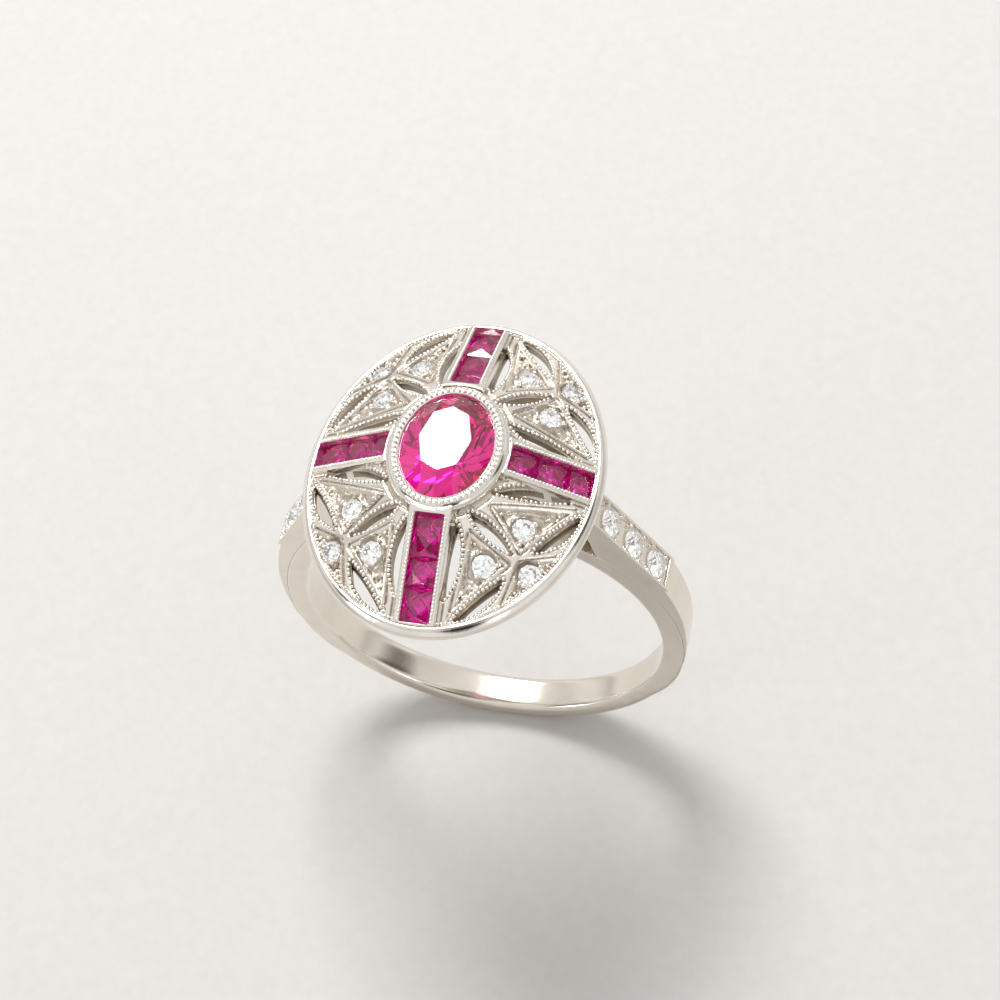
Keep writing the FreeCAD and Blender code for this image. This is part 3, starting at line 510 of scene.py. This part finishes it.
def painted_recess_shade(points):
    """Painted shade, where the metal is painted darker: beside the milgrain and at the foot of
    the fields.
    """
    gap, field = gaps(points)
    dark = 0.9 * ridge(gap - 0.06, 0.07)
    dark = np.maximum(dark, 0.42 * smooth(-field / 0.12) * (field < 0))
    dark = np.maximum(dark, 0.7 * ridge(field - GROOVE["off"], GROOVE["width"]) * (field > 0))
    dark = np.maximum(dark, 0.7 * engraved(points) * (field > EDGE["off"]) * (gap > 0.25))
    for centre, _ in HEAD_STONES.values():
        reach = np.linalg.norm(points - np.array(centre), axis=1)
        dark = np.where(reach < 0.68, np.maximum(dark, 0.75), dark)
    low = np.minimum(points[:, 0], points[:, 1])
    dark = np.maximum(dark, 0.8 * ridge(low - CHANNEL_HALF, 0.06))
    share = np.hypot(points[:, 0] / COLLAR[0], points[:, 1] / COLLAR[1])
    dark = np.maximum(dark, 0.8 * ridge(share - 1.08, 0.05))
    return np.clip(dark, 0, 1)


def wobble(x, y):
    """The unevenness of hand work, in the whole head's frame."""
    return np.array([
        0.014 * noise.noise(Vector((a * 1.1, b * 1.1, 0.3)))
        + 0.006 * noise.noise(Vector((a * 4.5, b * 4.5, 2.0))) for a, b in zip(x, y)])


def plate_level(points, sign):
    """Level of the finished plate at points of one quarter, given as if north-east. The
    floors of the fields keep the small flats that the graver leaves."""
    x, y = points[:, 0] * sign[0], points[:, 1] * sign[1]
    _, field = gaps(points)
    cuts = np.array([noise.noise(Vector((a * 3.6, b * 3.6, 5.0))) for a, b in zip(x, y)])
    return (dome_level(x, y) + relief(points) + wobble(x, y)
            + 0.075 * cuts * smooth((-0.03 - field) / 0.1))


def triangulate(outer, holes, spacing):
    """Triangles between an outline and its holes, with the loops' own points first."""
    loops = [outer] + holes
    points, edges, ranges = [], [], []
    for loop in loops:
        start = len(points)
        points += [tuple(p) for p in loop]
        ranges.append((start, len(points)))
        edges += [(start + k, start + (k + 1) % len(loop)) for k in range(len(loop))]
    low, high = outer.min(0), outer.max(0)
    rows = np.arange(low[1], high[1], spacing * math.sqrt(3) / 2)
    filling = np.array([(x + (k % 2) * spacing / 2, y) for k, y in enumerate(rows)
                        for x in np.arange(low[0], high[0], spacing)])
    keep = inside(filling, outer)
    for loop in holes:
        keep &= ~inside(filling, loop)
    filling = filling[keep]
    near = np.full(len(filling), 1e9)
    for loop in loops:
        near = np.minimum(near, distance(filling, loop))
    filling = filling[near > spacing * 0.45]
    everything = [Vector(p) for p in points] + [Vector(p) for p in filling]
    flat, _, faces, origins, _, _ = delaunay_2d_cdt(everything, edges, [], 0, 1e-7, True)
    flat = np.array([tuple(p) for p in flat])
    faces = np.array([f for f in faces if len(f) == 3])
    middle = flat[faces].mean(1)
    keep = inside(middle, outer)
    for loop in holes:
        keep &= ~inside(middle, loop)
    at = np.full(len(everything), -1)
    for new, olds in enumerate(origins):
        for old in olds:
            at[old] = new
    return flat, faces[keep], [[at[k] for k in range(a, b)] for a, b in ranges]


def panel_mesh():
    """Flat patterns of a quarter's top, with its seats, and of its underside, with the
    light holes."""
    outer = quarter_outline()
    openings = [OUTLINES[name] for name in OPENINGS]
    seats = [circle_points(centre, SEAT_RADIUS) for centre, _ in HEAD_STONES.values()]
    lights = [circle_points(centre, LIGHT_HOLE) for centre, _ in HEAD_STONES.values()]
    top = triangulate(outer, openings + seats, GRID)
    under = triangulate(outer, openings + lights, GRID * 3)
    return top, under


def build_panels():
    (top, top_faces, top_loops), (under, under_faces, under_loops) = panel_mesh()
    for corner, sign in QUARTERS.items():
        upper = np.c_[top * sign, plate_level(top, sign)]
        level = dome_level(under[:, 0], under[:, 1]) - PLATE
        lower = np.c_[under * sign, level]
        verts = np.vstack([upper, lower])
        faces = top_faces.tolist() + (under_faces[:, ::-1] + len(upper)).tolist()
        for high, low in zip(top_loops, under_loops):
            low = [k + len(upper) for k in low]
            for k in range(len(high)):
                n = (k + 1) % len(high)
                faces.append([high[k], high[n], low[n], low[k]])
        piece = make_piece(f"pierced_panel_{corner}", verts, faces, PLATE_METAL,
                           (f"panel_{corner}",))
        # The painted recess shade mark for the top; the underside's points get full painted
        # shade.
        tint = piece.data.attributes.new("painted_recess_shade", "FLOAT", "POINT")
        tint.data.foreach_set("value", np.r_[painted_recess_shade(top), np.full(len(under), 1.0)])
        turn_outwards(piece.data)
        # The walls and the underside take the dark wall metal, painted shade.
        piece.data.materials.append(WALL_METAL)
        first_wall = len(top_faces)
        marks = np.zeros(len(piece.data.polygons), int)
        marks[first_wall:] = 1
        piece.data.polygons.foreach_set("material_index", marks)


def turn_outwards(mesh):
    form = bmesh.new()
    form.from_mesh(mesh)
    bmesh.ops.recalc_face_normals(form, faces=form.faces)
    form.to_mesh(mesh)
    form.free()
    mesh.set_sharp_from_angle(angle=math.radians(50))
    mesh.update()


def dome_normal(x, y):
    step = 0.01
    return Vector((
        -(float(dome_level(x + step, y)) - float(dome_level(x - step, y))) / (2 * step),
        -(float(dome_level(x, y + step)) - float(dome_level(x, y - step))) / (2 * step),
        1)).normalized()


def spot(point, sign, lift, size, along=None, stretch=1.0, height=None):
    """One bead of a quarter, at a point given as if north-east."""
    level = float(plate_level(np.array([point]), sign)[0])
    x, y = point[0] * sign[0], point[1] * sign[1]
    normal = dome_normal(x, y)
    direction = (along[0] * sign[0], along[1] * sign[1], 0) if along is not None else (1, 0, 0)
    return ((x, y, level + lift), normal, direction, (size * stretch, size, height or size))


def build_milgrain():
    """Rows of beads along the edge of every opening."""
    for corner, sign in QUARTERS.items():
        spots = []
        for outline in OUTLINES.values():
            loop, along = resample(outline, 0.05)
            normal = np.c_[along[:, 1], -along[:, 0]]
            if signed(loop[:1] + normal[:1] * 0.02, outline)[0] < 0:
                normal = -normal
            ring, along = resample(loop + normal * MILGRAIN_INSET, MILGRAIN_PITCH)
            for point, direction in zip(ring, along):
                if abs(signed(np.array([point]), outline)[0] - MILGRAIN_INSET) > 0.05:
                    continue
                if min(point) < CHANNEL_HALF + 0.03:
                    continue
                if math.hypot(point[0] / BEZEL[0], point[1] / BEZEL[1]) < 1.02:
                    continue
                size = MILGRAIN_RADIUS * chance.uniform(0.86, 1.08)
                shift = point + chance.normal(0, 0.008, 2)
                spots.append(spot(shift, sign, 0.075, size, direction, 0.95, size * 0.95))
        grains(f"milgrain_{corner}", spots)


def build_setting_beads():
    """The beads that hold the head's diamonds and fill the corners of their fields."""
    for corner, sign in QUARTERS.items():
        spots = []
        for centre, turns in HEAD_STONES.values():
            for turn in turns:
                angle = math.radians(turn + chance.normal(0, 3))
                point = (np.array(centre)
                         + BEAD_REACH * np.array([math.cos(angle), math.sin(angle)]))
                spots.append(spot(point, sign, 0.07, 0.13 * chance.uniform(0.9, 1.08),
                                  height=0.15))
        for x, y, size in CORNER_GRAINS:
            spots.append(spot(np.array([x, y]), sign, 0.05, size * chance.uniform(1.0, 1.25)))
        grains(f"setting_beads_{corner}", spots, POLISHED)


# ---------------------------------------------------------------- rim and bezel


def oval_loft(name, rings, replaces):
    """A polished hoop around the head, whose section runs through rings of half x, half y
    and level and closes on itself."""
    count = 256
    turns = np.arange(count) * 2 * math.pi / count
    verts, faces = [], []
    for half_x, half_y, level in rings:
        verts.append(np.c_[half_x * np.cos(turns), half_y * np.sin(turns),
                           np.full(count, level)])
    total = len(rings)
    for r in range(total):
        s = (r + 1) % total
        for k in range(count):
            n = (k + 1) % count
            faces.append([r * count + k, r * count + n, s * count + n, s * count + k])
    piece = make_piece(name, np.vstack(verts), faces, POLISHED, replaces)
    turn_outwards(piece.data)
    piece.data.set_sharp_from_angle(angle=math.radians(35))


def build_rim():
    oval_loft("polished_rim", (
        (6.64, 8.22, 11.7), (6.6, 8.18, 11.73), (6.6, 8.18, 12.1), (6.62, 8.2, 12.19),
        (6.66, 8.24, 12.235), (6.71, 8.29, 12.24), (6.76, 8.345, 12.215), (6.87, 8.46, 12.09),
        (6.96, 8.555, 11.97), (6.99, 8.59, 11.92), (7.0, 8.6, 11.86), (7.0, 8.6, 11.78),
        (6.985, 8.585, 11.73), (6.95, 8.55, 11.7)), ("rim_band",))
    spots = []
    loop = np.array(ellipse_run(RIM_BEAD_LINE, 0, 2 * math.pi, 0.05)[:-1])
    ring, along = resample(loop, RIM_PITCH)
    for point, direction in zip(ring, along):
        if min(abs(point)) < CHANNEL_HALF + 0.05:
            continue
        sign = (math.copysign(1, point[0]), math.copysign(1, point[1]))
        quarter = np.abs(point)
        size = 0.08 * chance.uniform(0.85, 1.1)
        direction = direction * sign
        spots.append(spot(quarter, sign, 0.03, size, direction, 1.0, size))
    grains("rim_milgrain", spots)


def build_bezel():
    oval_loft("bezel_cup", (
        (1.15, 1.75, 9.8), (1.6, 2.2, 9.8), (2.1, 2.65, 11.8), (2.57, 3.07, 13.7),
        (2.62, 3.12, 13.82), (2.74, 3.25, 13.96), (2.82, 3.36, 14.06), (2.84, 3.38, 14.13),
        (2.81, 3.36, 14.22), (2.74, 3.31, 14.32), (2.66, 3.25, 14.4), (2.58, 3.185, 14.45),
        (2.5, 3.12, 14.475), (2.36, 2.98, 14.47), (2.29, 2.91, 14.475), (2.25, 2.872, 14.495),
        (2.21, 2.835, 14.485), (2.17, 2.8, 14.44), (2.15, 2.78, 14.38), (2.18, 2.81, 14.33),
        (2.4, 2.96, 14.28), (2.4, 2.96, 14.18), (2.25, 2.8, 13.95)), ("centre_bezel",))
    spots = []
    half = BEZEL_BEAD_LINE
    loop = np.array(ellipse_run(half, 0, 2 * math.pi, 0.05)[:-1])
    ring, _ = resample(loop, BEZEL_PITCH)
    for point in ring:
        outward = Vector((point[0] / half[0], point[1] / half[1], 0)).normalized()
        size = chance.uniform(0.92, 1.06)
        normal = Vector((outward.x * 0.25, outward.y * 0.25, 1))
        spots.append(((point[0], point[1], BEZEL_TOP), normal, tuple(outward),
                      (0.17 * size, 0.112 * size, 0.115 * size)))
    grains("bezel_milgrain", spots, POLISHED)


def oval_brilliant():
    """The centre stone: a long eight-sided table, star, kite and girdle facets, and a
    pavilion of mains and lower girdle facets."""
    half_x, half_y, girdle, crown, depth = 2.42, 2.98, 14.26, 15.05, 12.0
    foot = 14.2
    eighth = math.pi / 8
    table = {0: (1.215, 0.0), 2: (0.82, 1.33), 4: (0.0, 1.73)}

    def table_point(k):
        x, y = table[4 - abs(4 - k % 8)]
        turn = k % 16 * eighth
        return math.copysign(x, math.cos(turn)), math.copysign(y, math.sin(turn)), crown

    def ring_point(share, k, level):
        return (half_x * share * math.cos(k * eighth), half_y * share * math.sin(k * eighth),
                level)

    verts, faces = [], []

    def add(*points):
        start = len(verts)
        verts.extend(points)
        faces.append(list(range(start, start + len(points))))

    add(*[table_point(k) for k in range(0, 16, 2)])
    culet = (0, 0, depth)
    star_level = girdle + (crown - girdle) * 0.56
    for k in range(0, 16, 2):
        top, after_top = table_point(k), table_point(k + 2)
        before, after = ring_point(0.775, k - 1, star_level), ring_point(0.775, k + 1, star_level)
        edge = ring_point(1, k, girdle)
        low_before, low_after = ring_point(0.35, k - 1, 12.7), ring_point(0.35, k + 1, 12.7)
        low = ring_point(1, k, foot)
        add(top, after, after_top)
        add(top, before, edge)
        add(top, edge, after)
        add(culet, low_before, low)
        add(culet, low, low_after)
        for side, high, under in ((-1, before, low_before), (1, after, low_after)):
            add(high, edge, ring_point(1, k + side, girdle))
            add(under, low, ring_point(1, k + side, foot))
            add(low, ring_point(1, k + side, foot), ring_point(1, k + side, girdle), edge)
    piece = make_piece("oval_brilliant", verts, faces, RUBY, ("centre_ruby",), False)
    weld(piece.data)


def weld(mesh):
    """Joins the facets of a stone into one closed skin with flat shading."""
    form = bmesh.new()
    form.from_mesh(mesh)
    bmesh.ops.remove_doubles(form, verts=form.verts, dist=1e-7)
    bmesh.ops.recalc_face_normals(form, faces=form.faces)
    form.to_mesh(mesh)
    form.free()
    mesh.polygons.foreach_set("use_smooth", [False] * len(mesh.polygons))
    mesh.update()


# ---------------------------------------------------------------- arms


def arm_matrix(arm):
    """From the arm's own frame, with X down and outwards along it, to the ring's."""
    turn, end, slope, _ = ARMS[arm]
    spin = Matrix.Rotation(math.radians(turn), 4, "Z")
    tilt = Matrix.Rotation(math.radians(slope), 4, "Y")
    return spin @ Matrix.Translation((end, 0, RIM_LEVEL)) @ tilt


def to_ring(matrix, points):
    turned = np.array(matrix.to_3x3())
    return np.asarray(points) @ turned.T + np.array(matrix.translation)


def french_cut(start, length):
    """A calibre stone with a lozenge table and pointed corner facets, and a pavilion."""
    half_x, half_y = length / 2 - STONE_GAP / 2, 0.735
    middle = start + length / 2
    top, girdle, foot, waist, culet = -0.02, -0.27, -0.33, -0.58, -0.86
    corners = ((1, 1), (-1, 1), (-1, -1), (1, -1))
    ends = ((1, 0), (0, 1), (-1, 0), (0, -1))
    table_reach, waist_reach = 0.64, 0.62
    verts = [(middle + half_x * table_reach * x, half_y * table_reach * y, top)
             for x, y in ends]
    verts += [(middle + half_x * x, half_y * y, girdle) for x, y in corners]
    verts += [(middle + half_x * x, half_y * y, foot) for x, y in corners]
    verts += [(middle + half_x * waist_reach * x, half_y * waist_reach * y, waist)
              for x, y in ends]
    verts += [(middle + 0.04, 0.03, culet)]
    faces = [[0, 1, 2, 3]]
    for k in range(4):
        n = (k + 1) % 4
        faces.append([4 + k, n, k])
        faces.append([4 + (k - 1) % 4, 4 + k, k])
        faces.append([4 + (k - 1) % 4, 8 + (k - 1) % 4, 8 + k, 4 + k])
        faces.append([8 + k, 12 + k, 12 + n])
        faces.append([8 + (k - 1) % 4, 12 + k, 8 + k])
        faces.append([12 + k, 16, 12 + n])
    return verts, faces


def build_arms():
    for arm, (_, _, _, run) in ARMS.items():
        matrix = arm_matrix(arm)
        soft_cast(f"channel_{arm}", CHANNEL_VOXEL, 3, HEAD_METAL)
        edge = run
        for word, length in zip(("one", "two", "three"), ARM_STONES[arm]):
            edge -= length
            verts, faces = french_cut(-edge - length, length)
            tip = (Matrix.Rotation(chance.normal(0, 0.03), 4, "X")
                   @ Matrix.Translation((-edge - length / 2, 0, -0.3))
                   @ Matrix.Rotation(chance.normal(0, 0.035), 4, "Y")
                   @ Matrix.Translation((edge + length / 2, 0, 0.3)))
            piece = make_piece(f"french_cut_{arm}_{word}", to_ring(matrix @ tip, verts), faces,
                               SQUARE_RUBY, (f"ruby_{arm}_{word}",), smooth=False)
            weld(piece.data)
        spots = []
        for side in (-1, 1):
            for k in range(round((run - 0.05) / CHANNEL_PITCH)):
                at = (CHANNEL_BEADS["start"] - k * CHANNEL_PITCH,
                      side * CHANNEL_BEADS["side"], CHANNEL_BEADS["level"])
                where = to_ring(matrix, [at])[0]
                if math.hypot(where[0] / BEZEL[0], where[1] / BEZEL[1]) < 1.01:
                    continue
                size = CHANNEL_BEADS["size"] * chance.uniform(0.88, 1.08)
                normal = matrix.to_3x3() @ Vector((0, 0, 1))
                along = matrix.to_3x3() @ Vector((1, 0, 0))
                spots.append((tuple(where), normal, along, (size * 0.95, size * 1.1, size)))
        grains(f"channel_milgrain_{arm}", spots)


# ---------------------------------------------------------------- band and shoulders


def build_band():
    """The finger band: square-edged between the shoulders, rounder towards the back."""
    inner, outer, drop, half = BAND["inner"], BAND["outer"], BAND["drop"], BAND["half"]
    sections, profile = 288, 64
    verts, faces = [], []
    for s in range(sections):
        turn = 2 * math.pi * s / sections
        c, d = math.cos(turn), math.sin(turn)
        reach = -drop * d + math.sqrt(outer**2 - (drop * c)**2)
        thick = (reach - inner) / 2
        back = smooth(np.array([(-d - 0.05) / 0.55]))[0]
        outside = BAND["outer_power"][0] + BAND["outer_power"][1] * (1 - back)
        within = BAND["inner_power"][0] + BAND["inner_power"][1] * (1 - back)
        for p in range(profile):
            angle = 2 * math.pi * p / profile
            u, v = math.cos(angle), math.sin(angle)
            k = outside if u > 0 else within
            scale = (abs(u)**k + abs(v)**k)**(-1 / k)
            radial = inner + thick + u * scale * thick
            verts.append((radial * c, v * scale * half, radial * d))
    for s in range(sections):
        for p in range(profile):
            q, t = (p + 1) % profile, (s + 1) % sections
            faces.append([s * profile + p, s * profile + q, t * profile + q, t * profile + p])
    piece = make_piece("round_band", verts, faces, BAND_METAL, ("finger_band",))
    turn_outwards(piece.data)
    for side in ("east", "west"):
        soft_cast(f"shoulder_{side}", SHOULDER_VOXEL, 2, BAND_METAL)


def dress_diamonds():
    """The clear stones keep their CAD facets and get the clear stone's material."""
    for name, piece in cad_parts.items():
        if piece.hide_render or "diamond" not in name:
            continue
        if not piece.data.materials:
            piece.data.materials.append(DIAMOND)
        for k in range(len(piece.data.materials)):
            piece.data.materials[k] = DIAMOND
        piece.data.polygons.foreach_set("use_smooth", [False] * len(piece.data.polygons))


# ---------------------------------------------------------------- studio


def area_light(name, direction, reach, size, radiance, colour):
    """A square light that faces the head from a direction."""
    data = bpy.data.lights.new(name, "AREA")
    data.shape = "RECTANGLE"
    data.size = size * MM
    data.size_y = size * MM
    data.color = colour
    data.energy = radiance * math.pi * data.size * data.size_y
    lamp = bpy.data.objects.new(name, data)
    bpy.context.scene.collection.objects.link(lamp)
    towards = Vector(direction).normalized()
    lamp.location = Vector((0, 0, 12 * MM)) + towards * reach * MM
    lamp.rotation_mode = "QUATERNION"
    lamp.rotation_quaternion = towards.to_track_quat("Z", "Y")


def build_world():
    """A pale studio, dim at the horizon and brightest overhead, with four dark patches for
    the polished metal to reflect."""
    world = bpy.data.worlds.new("studio")
    world.use_nodes = True
    bpy.context.scene.world = world
    tree = world.node_tree
    background = tree.nodes["Background"]
    where = node(tree, "ShaderNodeTexCoord")
    split = node(tree, "ShaderNodeSeparateXYZ")
    tree.links.new(where.outputs["Generated"], split.inputs["Vector"])
    sky = ramp(tree, split.outputs["Z"], (
        (0.0, (0.60, 0.58, 0.55)), (0.2, (0.92, 0.905, 0.88)), (0.38, (1.02, 1.0, 0.965)),
        (0.52, (0.80, 0.785, 0.76)), (0.72, (0.84, 0.83, 0.81)), (1.0, (1.06, 1.05, 1.04))))
    result = sky.outputs["Color"]
    for direction, inner, outer, dark in (
            ((0.30, -0.80, 0.52), 0.985, 0.958, (0.02, 0.02, 0.025)),
            ((0.21, -0.50, 0.84), 0.99, 0.95, (0.2, 0.19, 0.18)),
            ((-0.78, -0.40, 0.52), 0.978, 0.945, (0.04, 0.038, 0.036)),
            ((0.85, 0.30, 0.43), 0.99, 0.96, (0.12, 0.11, 0.10))):
        dot = node(tree, "ShaderNodeVectorMath", operation="DOT_PRODUCT")
        dot.inputs[1].default_value = Vector(direction).normalized()
        tree.links.new(where.outputs["Generated"], dot.inputs[0])
        amount = map_range(tree, dot.outputs["Value"], 0, 1, outer, inner)
        mix = node(tree, "ShaderNodeMix", data_type="RGBA")
        tree.links.new(amount.outputs["Result"], mix.inputs["Factor"])
        tree.links.new(result, mix.inputs["A"])
        mix.inputs["B"].default_value = (*dark, 1)
        result = mix.outputs["Result"]
    tree.links.new(result, background.inputs["Color"])
    background.inputs["Strength"].default_value = 0.93


def build_floor():
    """A plain pale floor under the band."""
    corners = ((-1, -1), (1, -1), (1, 1), (-1, 1))
    verts = [(x * FLOOR_HALF, y * FLOOR_HALF, FLOOR_LEVEL) for x, y in corners]
    mesh = bpy.data.meshes.new("floor")
    mesh.from_pydata([tuple(c * MM for c in v) for v in verts], [], [[0, 1, 2, 3]])
    floor = bpy.data.objects.new("floor", mesh)
    bpy.context.scene.collection.objects.link(floor)
    material, tree, shader = new_material("floor")
    cloth = place_noise(tree, 1.6, 5)
    tones = ramp(tree, cloth.outputs["Fac"],
                 ((0.3, (0.595, 0.582, 0.572)), (0.7, (0.62, 0.607, 0.597))))
    tree.links.new(tones.outputs["Color"], shader.inputs["Base Color"])
    shader.inputs["Roughness"].default_value = 0.85
    mesh.materials.append(material)


def build_camera():
    data = bpy.data.cameras.new("camera")
    data.sensor_width = 36.0
    data.lens = CAMERA_LENS
    data.clip_start = 0.001
    data.clip_end = 5.0
    camera = bpy.data.objects.new("camera", data)
    bpy.context.scene.collection.objects.link(camera)
    place, aim = Vector(CAMERA_PLACE), Vector(CAMERA_AIM)
    back = (place - aim).normalized()
    level = Vector((0, 0, 1)).cross(back).normalized()
    up = back.cross(level)
    turn = math.radians(CAMERA_ROLL)
    right = level * math.cos(turn) + up * math.sin(turn)
    up = back.cross(right)
    camera.matrix_world = Matrix((
        (right.x, up.x, back.x, place.x * MM), (right.y, up.y, back.y, place.y * MM),
        (right.z, up.z, back.z, place.z * MM), (0, 0, 0, 1)))
    bpy.context.scene.camera = camera


def build_studio():
    build_world()
    build_floor()
    build_camera()
    area_light("softbox", (-0.235, 0.515, 0.83), 320, 130, 15.5, (1.0, 0.992, 0.98))
    area_light("side_box", (-0.8, -0.6, 0.35), 330, 110, 3.0, (1.0, 0.985, 0.96))
    area_light("low_box", (0.75, -0.75, 0.45), 330, 60, 3.0, (1.0, 0.98, 0.95))
    scene = bpy.context.scene
    scene.view_settings.view_transform = "Standard"
    scene.cycles.max_bounces = 24
    scene.cycles.transmission_bounces = 20
    scene.cycles.glossy_bounces = 8
    scene.cycles.transparent_max_bounces = 16


build_panels()
build_milgrain()
build_setting_beads()
build_rim()
build_bezel()
oval_brilliant()
build_arms()
build_band()
dress_diamonds()
build_studio()
